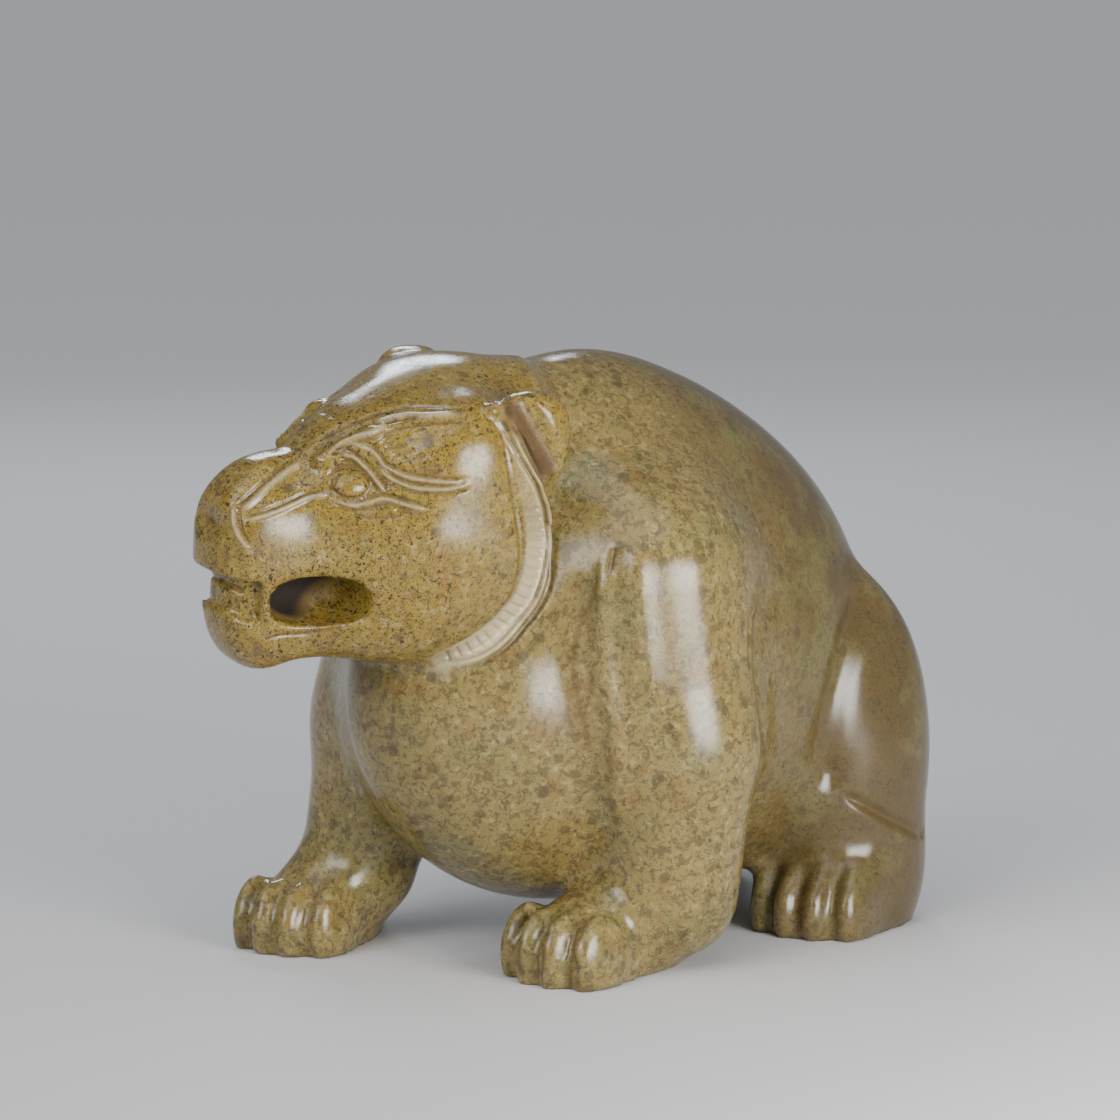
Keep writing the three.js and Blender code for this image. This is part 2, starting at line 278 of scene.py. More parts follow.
# temple, the slanting cut behind the ear, brow ridge, shallow socket and eye
def faceForm(d, m, far):
    y, z = m[1], m[2]
    temple, nape, brow = headMasses["temple"], headMasses["nape"], headMasses["brow"]
    socket, eye = headMasses["socket"], headMasses["eye"]
    d = softMin(d, ellipsoid(m, temple["at"], temple["radii"]), 5)
    slant = nape["slope"][0] * (y - nape["at"][0]) + nape["slope"][1] * (z - nape["at"][1])
    d = softMax(d, slant - 1.2 * np.maximum(nape["from"] - m[0], 0), 3)
    d = softMin(d, limb(m, brow["front"], brow["middle"], 1, 1), 1.6)
    farRear, rear = (limb(m, brow["middle"], (*brow["rear"], high), 1, 0.8)
                     for high in (brow["farHigh"], brow["high"]))
    d = softMin(d, np.where(far, farRear, rear), 1.6)
    back, up = (y - socket["at"][0]) / socket["reach"][0], (z - socket["at"][1]) / socket["reach"][1]
    d = d + (m[0] > socket["from"]) * socket["deep"] * np.exp(-back ** 2 - up ** 2)
    return softMin(d, ellipsoid(m, eye["at"], eye["radii"]), 0.6)


# ear: a rounded lobe with a valley behind its front rim, which stands clear on the left alone
def earForm(m, far):
    y, z = m[1], m[2]
    shift, lobe, valley = earMasses["farShift"], earMasses["lobe"], earMasses["valley"]
    cut, rim, root = earMasses["frontCut"], earMasses["rim"], earMasses["root"]
    e = [m[0], np.where(far, y + shift[1], y), np.where(far, z + shift[2], z)]
    inward = [np.where(far, m[0] - shift[0], m[0]), e[1], e[2]]
    ear = pebble(e, lobe["at"], lobe["radii"], 2.6)
    ear = softMax(ear, -limb(inward, valley["top"], valley["foot"], *valley["radii"]), 1)
    near = softMax(ear, -cut["slope"][0] * (y - cut["at"][0]) - cut["slope"][1] * (z - cut["at"][1]), 1.6)
    near = softMin(near, limb(m, rim[0][0], rim[1][0], rim[0][1], rim[1][1]), 1.6)
    near = softMin(near, limb(m, rim[1][0], rim[2][0], rim[1][1], rim[2][1]), 1)
    return softMin(np.where(far, ear, near), ellipsoid(inward, root["at"], root["radii"]), 3)


# the whole solid: below zero inside, above zero outside
def bear(p):
    d = foreleg(torso(p), p, legs["leftFore"])
    d = foreleg(d, p, legs["rightFore"])
    d = hindleg(d, p, legs["leftHind"])
    d = hindleg(d, p, legs["rightHind"])
    q = headFrame(p)
    m = [np.abs(q[0]), q[1], q[2]]
    far = q[0] < 0
    face = faceForm(mouthForm(skullForm(m), m), m, far)
    d = softMin(d, face, 0.9 + 12 * ease(q[2], 10, 20))
    d = softMin(d, earForm(m, far), 1.4)
    return np.maximum(d, -p[2])


def toForm(points):
    return [(points[:, 0] - place["shift"][0]) / place["share"],
            (points[:, 1] - place["shift"][1]) / place["share"],
            points[:, 2] / place["share"]]


def slopeOf(p, step=0.03):
    here = bear(p)
    slope = []
    for axis in range(3):
        moved = [p[0], p[1], p[2]]
        moved[axis] = p[axis] + step
        slope.append((bear(moved) - here) / step)
    return here, slope


def outward(p):
    slope = slopeOf(p)[1]
    size = np.sqrt(slope[0] ** 2 + slope[1] ** 2 + slope[2] ** 2) + 1e-9
    return [slope[axis] / size for axis in range(3)]


# points walk along the slope until they lie on the form
def settle(p, rounds=3):
    for _ in range(rounds):
        here, slope = slopeOf(p)
        size = np.maximum(slope[0] ** 2 + slope[1] ** 2 + slope[2] ** 2, 0.05)
        push = np.clip(here / size, -1.2, 1.2)
        p = [p[axis] - push * slope[axis] for axis in range(3)]
    return p


hairs = [[(-17.4, 16.7), (-15.3, 17.4)], [(-17.1, 15.4), (-13.8, 16.3)], [(-16.1, 14.4), (-13, 15.6)],
         [(-15, 13.7), (-11.9, 14.8)], [(-13.5, 12.9), (-9.5, 13.6)], [(-12.1, 12.2), (-9.8, 12.7)]]

# carved lines of the head as seen square from its side: distance back, height, then width and depth;
# a negative depth is a raised cord, and beside is how far off it its grooves run
headCarving = {
    "brow": {"at": [(-24.8, 14.7), (-20.5, 17.2), (-15.8, 19.05), (-12, 20.15), (-8.2, 20.85), (-5.2, 21.0)],
             "wide": 0.5, "deep": -0.45, "beside": (-0.85, 0.8)},
    "foldOver": {"at": [(-22.5, 16), (-21.1, 15.9), (-19, 15.1), (-18, 13.9), (-17.5, 12.9), (-15.7, 11.9),
                        (-13.9, 11.3), (-9.1, 11.0), (-6, 11.0)],
                 "wide": 0.32, "deep": -0.45, "beside": (0.6,)},
    "foldUnder": {"at": [(-18.2, 12.4), (-16.7, 11.0), (-14.9, 10.2), (-13.1, 9.8), (-9.3, 9.9),
                         (-5.8, 10.6)], "wide": 0.32, "deep": -0.4, "beside": (0.6, -0.6)},
    "upperLid": {"at": [(-23.2, 14.2), (-21.5, 13.9), (-20.4, 12.9), (-19.2, 11.3), (-17.6, 8.9)],
                 "wide": 0.34, "deep": -0.45, "beside": (-0.65, 0.65)},
    "eyeball": {"at": [(-25.3, 9.8), (-24.4, 11.6), (-22, 12.4), (-20, 11.6), (-19.2, 10.1), (-20.3, 8.4),
                       (-22.8, 7.7), (-24.7, 8.4), (-25.3, 9.8)], "wide": 0.4, "deep": 0.5},
    "lowerLid": {"at": [(-25, 7.4), (-22.3, 6.6), (-20.1, 7.1), (-17.8, 7.9), (-15, 7.2), (-12.1, 6.5)],
                 "wide": 0.34, "deep": -0.45, "beside": (0.65, -0.65)},
    "lowerLidSecond": {"at": [(-16.7, 6.4), (-14.7, 5.9), (-12.2, 5.8)], "wide": 0.28, "deep": 0.3},
    "underEye": {"at": [(-22.7, 5.8), (-21.8, 5.3), (-20.4, 4.9), (-17.9, 5.1), (-15.1, 5.5)],
                 "wide": 0.38, "deep": 0.4},
    **{"hair" + str(i): {"at": at, "wide": 0.3, "deep": 0.3} for i, at in enumerate(hairs)},
    "lowerBead": {"at": [(-26.3, 13.2), (-26.1, 13.5)], "wide": 0.5, "deep": -0.5},
    "upperBead": {"at": [(-25.5, 13.9), (-25.3, 14.1)], "wide": 0.45, "deep": -0.45},
    "snoutRidge": {"at": [(-27.6, 12.3), (-30.8, 10.9), (-34.4, 8.9), (-39.2, 5.4)],
                   "wide": 0.5, "deep": -0.5, "beside": (-0.9,)},
    "snoutSecond": {"at": [(-25.2, 8.3), (-28.6, 7.5), (-31.6, 6.4), (-38.6, 4.2)],
                    "wide": 0.36, "deep": -0.4, "beside": (-0.65,)},
    "nostrilWing": {"at": [(-39.9, 6.2), (-40.1, 3.6), (-39.7, 1.8), (-38.6, 0)],
                    "wide": 0.36, "deep": -0.42, "beside": (0.7,)},
    "nostril": {"at": [(-41.6, 4.2), (-41.2, 2.6)], "wide": 0.9, "deep": 0.5},
    "lipLine": {"at": [(-34.8, -15.3), (-32.9, -14.7), (-30.8, -14.5), (-28.6, -14.6), (-26.6, -14.4),
                       (-24.6, -13.9), (-21.7, -12.9)], "wide": 0.35, "deep": 0.35},
    "toothSlit": {"at": [(-39.4, -6.9), (-38.4, -7.3), (-37.4, -8)], "wide": 0.4, "deep": 0.7},
}
besideGroove = {"wide": 0.3, "deep": 0.42}

# the ruff: its rim and the band's inner edge, the lines along the rim, and the short strokes
ruffCarving = {
    "rim": [(0.4, 21.2), (2.1, 18.8), (4.6, 14.4), (7.7, 9.4), (10.3, 4.8), (11.4, 0.4), (11.2, -2.8),
            (10.6, -6.4), (9.2, -9.9), (6.8, -13.2), (3.7, -16.4), (0.3, -18.8), (-3.3, -20.2)],
    "inner": [(0.4, 19.4), (1.1, 14.9), (2.1, 9.9), (3.4, 4.4), (4.3, -1.4), (4.2, -5.5), (3.2, -8.8),
              (1.2, -12.5), (-2, -15.7), (-6.1, -17.9)],
    "rimLines": [{"inwards": 0, "wide": 0.34, "deep": -0.4}, {"inwards": 0.75, "wide": 0.3, "deep": 0.5},
                 {"inwards": 1.4, "wide": 0.3, "deep": -0.25}, {"inwards": -0.8, "wide": 0.5, "deep": 0.6}],
    "innerLine": {"wide": 0.4, "deep": 0.3},
    "strokes": {"count": 19, "from": 0.34, "span": 0.64, "slant": 0.03, "share": (0.1, 0.8),
                "wide": 0.28, "deep": 0.45},
}
earHollow = {"at": [(2.2, 21.8), (4.4, 18.6), (6.6, 15.2), (8.4, 12.2)], "reach": (0.6, 2.6)}

# carved lines and soft valleys of the body, in the form's own place
bodyCarving = {
    "shoulder": {"at": [(22.6, -12.8, 70.1), (22.7, -14.1, 64), (20.7, -15.6, 57.9), (20.4, -16.1, 52.6),
                        (20.8, -15.7, 48.1), (21.4, -14.3, 41.5), (21.4, -12.9, 36.1)],
                 "wide": 0.7, "deep": 0.55},
    "shoulderValley": {"at": [(21.6, -14, 68), (20.8, -15.2, 61), (19.4, -16.2, 54), (19.6, -16, 48),
                              (20.4, -14.8, 41.5), (20.6, -13.2, 35), (17.6, -11.2, 26)],
                       "wide": 3.2, "deep": 0.6},
    "legEdge": {"at": [(23.9, -12.2, 69), (24.1, -13.3, 60.7), (24.2, -13, 52.6), (24.8, -11.7, 44.4),
                       (24.8, -10.4, 35.3), (22.5, -8.2, 26)], "wide": 1.6, "deep": -0.95},
    "shoulderMuscle": {"at": [(26.4, -8.6, 73), (28.5, -10.1, 66.4), (29.1, -9.3, 56), (29.7, -8.1, 47)],
                       "wide": 2.4, "deep": -0.9},
    "shoulderSecond": {"at": [(24.1, -10.2, 71), (24.4, -12, 67)], "wide": 0.5, "deep": 0.3},
    "innerToe": {"at": [(10, -15.6, 10.7), (13.2, -21.7, 7.2), (14.6, -21.8, 0.3)], "wide": 0.7, "deep": 0.5},
    "middleToe": {"at": [(16.5, -18.1, 9.5), (19, -21.9, 5.5), (18.2, -21, 0.1)], "wide": 0.7, "deep": 0.5},
    "outerToe": {"at": [(22.6, -18.2, 7), (24.7, -19.6, 4), (24.1, -18.9, 0.1)], "wide": 0.7, "deep": 0.5},
    "flank": {"at": [(27.7, 23.3, 59.9), (32.5, 13, 58.9), (33.8, 11, 53.9), (34.5, 11.6, 47),
                     (34.7, 12.8, 43.3), (34.4, 13.4, 36)], "wide": 1.4, "deep": 0.9},
    "flankValley": {"at": [(30, 26, 60), (33.2, 17, 58), (34, 14.6, 50), (34.4, 14.8, 42), (34, 15.6, 34),
                           (33, 16.5, 26)], "wide": 3.4, "deep": 1.2},
    "haunch": {"at": [(21.9, 50.4, 59.5), (26, 42.1, 49.8), (26.2, 38.1, 39.3), (25, 37.8, 31),
                      (25.8, 41, 25.2)], "wide": 2.8, "deep": 1.6},
    "tail": {"at": [(-9, 61, 68), (-11, 65, 60), (-9.5, 68, 51), (-5, 69, 47), (-0.5, 68, 51), (1, 65, 60),
                    (-1, 61, 68)], "wide": 1, "deep": 0.6},
    "foot": {"at": [(25.8, 41, 25.2), (29, 50.6, 19.4), (26.5, 61.5, 14.8)], "wide": 1, "deep": 0.6},
}

bearSettings = {
    "voxel": 0.00074,
    "splitReach": (3.4, 1.15),
    "bodyReach": 0.4,
    "broadLine": 1.5,
    # the next two: the width under which a groove gets its full painted shade, and the depth at which it does
    "shadedLine": 1.3,
    "fullDepth": 0.45,
    "farStrength": 0.55,
    "floorSnap": 2e-5,
    "cheek": {"at": (-8.5, 1.5), "reach": (7, 5.5), "high": 0.6, "side": (8, 14)},
}
# colour marks: painted shade in the cuts, painted highlight on the cords and the ruff band, painted shade in
# the mouth and ear hollows
markNames = ("cut", "proudHighlight", "band", "hollowShade", "earHollowShade")


def smoothPath(points, step=0.5):
    points = np.array(points, float)
    if len(points) < 3:
        ends = [points[0], points[-1]]
        count = max(3, int(np.linalg.norm(ends[1] - ends[0]) / step))
        t = np.linspace(0, 1, count)[:, None]
        return ends[0] * (1 - t) + ends[1] * t
    padded = np.vstack([2 * points[0] - points[1], points, 2 * points[-1] - points[-2]])
    out = []
    for i in range(len(points) - 1):
        a, b, c, d = padded[i:i + 4]
        count = max(2, int(np.linalg.norm(c - b) / step))
        t = (np.arange(count) / count)[:, None]
        bend = (2 * a - 5 * b + 4 * c - d) * t ** 2 + (3 * b - a - 3 * c + d) * t ** 3
        out.append(0.5 * (2 * b + (c - a) * t + bend))
    out.append(points[-1:])
    return np.vstack(out)


# the solid as the head's own frame sees it
def headShape(q):
    c, s = np.cos(np.radians(headPlace["turn"])), np.sin(np.radians(headPlace["turn"]))
    cr, sr = np.cos(np.radians(headPlace["tilt"])), np.sin(np.radians(headPlace["tilt"]))
    across = cr * q[0] + sr * q[2]
    up = -sr * q[0] + cr * q[2]
    x = c * across + s * q[1]
    y = -s * across + c * q[1]
    return bear([x + headPlace["at"][0], y + headPlace["at"][1], up + headPlace["at"][2]])


# walk in from the side until the head is met, so a line drawn side-on lies on its surface
def ontoHead(flat, start=26.0, steps=60):
    y, z = flat[:, 0], flat[:, 1]
    out = np.full(len(flat), start)
    for _ in range(steps):
        out = out - np.clip(headShape([out, y, z]) * 0.7, 0, 1.5)
    return np.c_[out, y, z]


def ontoBody(path):
    return np.column_stack(settle([path[:, 0], path[:, 1], path[:, 2]]))


# the points within reach of a path: which they are, how far off and how far along it
def nearLine(points, path, reach):
    low, high = path.min(0) - reach, path.max(0) + reach
    close = np.where(((points > low) & (points < high)).all(1))[0]
    if not len(close):
        return close, np.zeros(0), np.zeros(0)
    best = np.full(len(close), np.inf)
    where = np.zeros(len(close))
    span = np.r_[0, np.cumsum(np.linalg.norm(np.diff(path, axis=0), axis=1))]
    for i in range(len(path) - 1):
        a, b = path[i], path[i + 1]
        ab = b - a
        t = np.clip(((points[close] - a) @ ab) / (ab @ ab + 1e-12), 0, 1)
        gap = np.linalg.norm(points[close] - a - t[:, None] * ab, axis=1)
        nearer = gap < best
        best[nearer] = gap[nearer]
        where[nearer] = (span[i] + t[nearer] * (span[i + 1] - span[i])) / span[-1]
    keep = best < reach
    return close[keep], best[keep], where[keep]


def besidePath(path, offset):
    direction = np.gradient(path, axis=0)
    normal = np.c_[-direction[:, 1], direction[:, 0]] / (np.linalg.norm(direction, axis=1)[:, None] + 1e-9)
    return path + normal * offset


# each line is a path on the surface with its width and depth
def ruffLines():
    rim, inner = smoothPath(ruffCarving["rim"]), smoothPath(ruffCarving["inner"])
    inwards = inner[np.linspace(0, len(inner) - 1, len(rim)).astype(int)] - rim
    inwards = inwards / np.linalg.norm(inwards, axis=1)[:, None]
    made = [(rim + line["inwards"] * inwards, line["wide"], line["deep"]) for line in ruffCarving["rimLines"]]
    made.append((inner, ruffCarving["innerLine"]["wide"], ruffCarving["innerLine"]["deep"]))
    strokes = ruffCarving["strokes"]
    for i in range(strokes["count"]):
        t = strokes["from"] + strokes["span"] * i / (strokes["count"] - 1)
        a = inner[int(t * (len(inner) - 1))]
        b = rim[min(int((t + strokes["slant"]) * (len(rim) - 1)), len(rim) - 1)]
        ends = [a + share * (b - a) for share in strokes["share"]]
        made.append((smoothPath(ends), strokes["wide"], strokes["deep"]))
    return made


def headLines():
    made = []
    for line in headCarving.values():
        path = smoothPath(line["at"])
        made.append((path, line["wide"], line["deep"]))
        for offset in line.get("beside", ()):
            made.append((besidePath(path, offset), besideGroove["wide"], besideGroove["deep"]))
    return [(ontoHead(path), width, depth) for path, width, depth in made + ruffLines()]


def bodyLines():
    return [(ontoBody(smoothPath(line["at"])), line["wide"], line["deep"]) for line in bodyCarving.values()]


# the solid's own copy, merged and remeshed evenly
def evenSkin(node):
    bm = bmesh.new()
    bm.from_mesh(node.data)
    bmesh.ops.remove_doubles(bm, verts=bm.verts, dist=1e-6)
    bmesh.ops.recalc_face_normals(bm, faces=bm.faces)
    rough = bpy.data.meshes.new("roughSkin")
    bm.to_mesh(rough)
    bm.free()
    holder = bpy.data.objects.new("roughSkin", rough)
    bpy.context.scene.collection.objects.link(holder)
    remesh = holder.modifiers.new("even", "REMESH")
    remesh.mode = "VOXEL"
    remesh.voxel_size = bearSettings["voxel"]
    bpy.context.view_layer.update()
    even = bpy.data.meshes.new_from_object(holder.evaluated_get(bpy.context.evaluated_depsgraph_get()))
    bpy.data.objects.remove(holder)
    return even


def pointsOf(bm):
    return np.array([v.co[:] for v in bm.verts])


# back to metres, flat on the floor and within the solid's own box
def placePoints(bm, p):
    share, shift = place["share"], place["shift"]
    x, y, z = p[0] * share + shift[0], p[1] * share + shift[1], p[2] * share
    z = np.where(z < bearSettings["floorSnap"], 0, z)
    inside = np.clip(np.c_[x, y, z], np.array(cadBox[0]), np.array(cadBox[1]))
    for v, spot in zip(bm.verts, inside.tolist()):
        v.co = spot


# both sides of the head at once, as distance out, back and up
def inHead(p):
    q = headFrame(p)
    return np.c_[np.abs(q[0]), q[1], q[2]]


def splitNear(bm, near):
    bm.verts.ensure_lookup_table()
    picked = [e for e in bm.edges if near[e.verts[0].index] or near[e.verts[1].index]]
    bmesh.ops.subdivide_edges(bm, edges=picked, cuts=1)
    bmesh.ops.triangulate(bm, faces=[f for f in bm.faces if len(f.verts) > 3])
    bm.verts.index_update()


# broad valleys need no finer mesh
def lineTouch(points, lines, reach):
    near = np.zeros(len(points), bool)
    for path, width, depth in lines:
        if width <= bearSettings["broadLine"]:
            near[nearLine(points, path, reach + width)[0]] = True
    return near


def carve(p, points, lines, marks, strength=1):
    out = outward(p)
    sink, lift = np.zeros(len(points)), np.zeros(len(points))
    for path, width, depth in lines:
        close, gap, where = nearLine(points, path, width * 2.6)
        fade = ease(where, 0, 0.12) * (1 - ease(where, 0.9, 1)) * 0.85 + 0.15
        shape = np.exp(-(gap / width) ** 2) * fade
        fine = width < bearSettings["shadedLine"]
        if depth > 0:
            sink[close] = np.maximum(sink[close], depth * shape)
            # a groove's colour is darkened with painted shade, the more the deeper it is
            cutShade = min(depth / bearSettings["fullDepth"], 1) * (1 if fine else 0.4)
            marks["cut"][close] = np.maximum(marks["cut"][close], shape * cutShade)
        else:
            lift[close] = np.maximum(lift[close], -depth * shape)
            # a raised cord gets a painted highlight
            marks["proudHighlight"][close] = np.maximum(marks["proudHighlight"][close], shape * fine)
    return [p[axis] - (sink - lift) * strength * out[axis] for axis in range(3)]


# the cheek swells a little behind the eye folds
def swell(p):
    cheek = bearSettings["cheek"]
    q = headFrame(p)
    out = outward(p)
    near = [((q[axis + 1] - cheek["at"][axis]) / cheek["reach"][axis]) ** 2 for axis in range(2)]
    bulge = cheek["high"] * np.exp(-near[0] - near[1]) * ease(np.abs(q[0]), *cheek["side"])
    return [p[axis] + bulge * out[axis] for axis in range(3)]


# the pale painted highlight on the ruff's lower band, on the left alone
def markBand(left, m, marks):
    rim, inner = smoothPath(ruffCarving["rim"], 1), smoothPath(ruffCarving["inner"], 1)
    half = inner[np.linspace(0, len(inner) - 1, len(rim)).astype(int)]
    breadth = np.linalg.norm(rim - half, axis=1).max() / 2
    close, gap, where = nearLine(m, ontoHead((rim + half) / 2), breadth + 1)
    local = breadth * np.interp(where, [0, 0.2, 0.5, 1], [0.2, 0.4, 0.8, 0.75])
    pale = np.interp(where, [0, 0.3, 0.5, 0.85, 1], [0, 0.3, 1, 1, 0.4])
    marks["band"][close] = (1 - ease(gap, local * 0.6, local * 1.05)) * pale * left[close]


# painted shade in the ear's hollow behind its front rim, on the left alone
def markEar(left, m, marks):
    tight, loose = earHollow["reach"]
    close, gap, _ = nearLine(m, ontoHead(smoothPath(earHollow["at"])), loose)
    marks["earHollowShade"][close] = np.where(left[close], 1 - ease(gap, tight, loose), 0)


# painted shade in the hollows of the mouth, darker towards their depth and their upper front
def markMouth(m, marks):
    at, radii = headMasses["mouth"]["at"], headMasses["mouth"]["radii"]
    spread = ((m[:, 1] - at[1]) / radii[1]) ** 2 + ((m[:, 2] - at[2]) / radii[2]) ** 2
    inside = 1 - ease(spread, 0.6, 1.0)
    deep = ease(along(m[:, 1], headProfiles["flank"]) - m[:, 0], 2, 6.5) * (m[:, 1] > -36)
    front = ease((m[:, 2] - at[2]) * 0.9 - (m[:, 1] - at[1]), -6.5, 0.5)
    marks["hollowShade"] = np.maximum(marks["hollowShade"], inside * deep * (0.1 + 0.9 * front))


def makeBear():
    node = bpy.data.objects["jade_bear"]
    bm = bmesh.new()
    bm.from_mesh(evenSkin(node))
    bmesh.ops.triangulate(bm, faces=bm.faces)
    print("even skin", len(bm.faces))
    placePoints(bm, settle(toForm(pointsOf(bm)), 2))
    bmesh.ops.smooth_vert(bm, verts=bm.verts, factor=0.5, use_axis_x=True, use_axis_y=True, use_axis_z=True)
    onHead, onBody = headLines(), bodyLines()
    for reach in bearSettings["splitReach"]:
        p = settle(toForm(pointsOf(bm)), 2)
        placePoints(bm, p)
        near = lineTouch(inHead(p), onHead, reach)
        near = near | lineTouch(np.column_stack(p), onBody, reach * bearSettings["bodyReach"])
        splitNear(bm, near)
        print("split to", len(bm.faces))
    p = settle(toForm(pointsOf(bm)))
    marks = {name: np.zeros(len(p[0])) for name in markNames}
    left = headFrame(p)[0] > 0
    m = inHead(p)
    markBand(left, m, marks)
    markEar(left, m, marks)
    markMouth(m, marks)
    p = carve(swell(p), m, onHead, marks, np.where(left, 1, bearSettings["farStrength"]))
    p = carve(p, np.column_stack(p), onBody, marks)
    placePoints(bm, p)
    mesh = bpy.data.meshes.new("jadeBear")
    bmesh.ops.recalc_face_normals(bm, faces=bm.faces)
    for face in bm.faces:
        face.smooth = True
    bm.to_mesh(mesh)
    bm.free()
    for name, values in marks.items():
        mesh.attributes.new(name, "FLOAT", "POINT").data.foreach_set("value", values.astype(np.float32))
    piece = bpy.data.objects.new("jadeBear", mesh)
    bpy.context.scene.collection.objects.link(piece)
    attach(piece, "root")
    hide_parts("jade_bear")
    print("bear carved,", len(mesh.polygons), "triangles")
    return piece


# shader maths: a socket that can be added, subtracted and multiplied
class Wire:
    def __init__(self, tree, socket):
        self.tree, self.socket = tree, socket

    def sum(self, operation, a, b):
        return self.tree.node("ShaderNodeMath", {"operation": operation}, {0: a, 1: b})

    def __add__(self, other):
        return self.sum("ADD", self, other)

    def __radd__(self, other):
        return self.sum("ADD", other, self)

    def __sub__(self, other):
        return self.sum("SUBTRACT", self, other)

    def __rsub__(self, other):
        return self.sum("SUBTRACT", other, self)

    def __mul__(self, other):
        return self.sum("MULTIPLY", self, other)

    def __rmul__(self, other):
        return self.sum("MULTIPLY", other, self)


class Tree:
    def __init__(self, name):
        self.material = bpy.data.materials.new(name)
        self.material.use_nodes = True
        self.nodes = self.material.node_tree.nodes
        self.links = self.material.node_tree.links
        self.nodes.clear()

    def node(self, kind, settings=None, inputs=None, output=0):
        made = self.nodes.new(kind)
        for name, value in (settings or {}).items():
            setattr(made, name, value)
        for name, value in (inputs or {}).items():
            if isinstance(value, Wire):
                self.links.new(value.socket, made.inputs[name])
            elif isinstance(value, tuple) and len(value) == 3 and made.inputs[name].type == "RGBA":
                made.inputs[name].default_value = (*value, 1)
            else:
                made.inputs[name].default_value = value
        self.last = made
        return None if output is None else Wire(self, made.outputs[output])

    def ramp(self, value, low, high):
        return self.node("ShaderNodeMapRange", {"interpolation_type": "SMOOTHSTEP"},
                         {0: value, 1: low, 2: high, 3: 0.0, 4: 1.0})

    def mix(self, factor, a, b):
        return self.node("ShaderNodeMix", {"data_type": "RGBA"}, {0: factor, 6: a, 7: b}, 2)

    def noise(self, where, scale, detail=2.0, rough=0.5, warp=0.0):
        return self.node("ShaderNodeTexNoise", {}, {"Vector": where, "Scale": scale, "Detail": detail,
                                                    "Roughness": rough, "Distortion": warp})

    def stretch(self, where, by):
        return self.node("ShaderNodeVectorMath", {"operation": "MULTIPLY"}, {0: where, 1: by})


jadeLook = {
    "headGold": (0.255, 0.172, 0.028),
    "bodyOlive": (0.225, 0.168, 0.056),
    # painted shade: the back and haunch darkened as if the light fell off towards the rear
    "backShade": (0.090, 0.064, 0.025),
    "greenish": (0.145, 0.135, 0.048),
    "rust": (0.170, 0.078, 0.020),
    "speck": (0.024, 0.015, 0.005),
    "greySpot": (0.070, 0.053, 0.025),
    "pale": (0.42, 0.34, 0.15),
    # painted shade for the cuts and the mouth hollows
    "recessShade": (0.085, 0.050, 0.014),
    # painted shade for the ear's hollow
    "earHollowShade": (0.070, 0.034, 0.009),
    "shade": (0.012, 0.007, 0.002),
    # painted highlight colour for the raised cords and the ruff band
    "paleHighlight": (0.60, 0.51, 0.33),
}


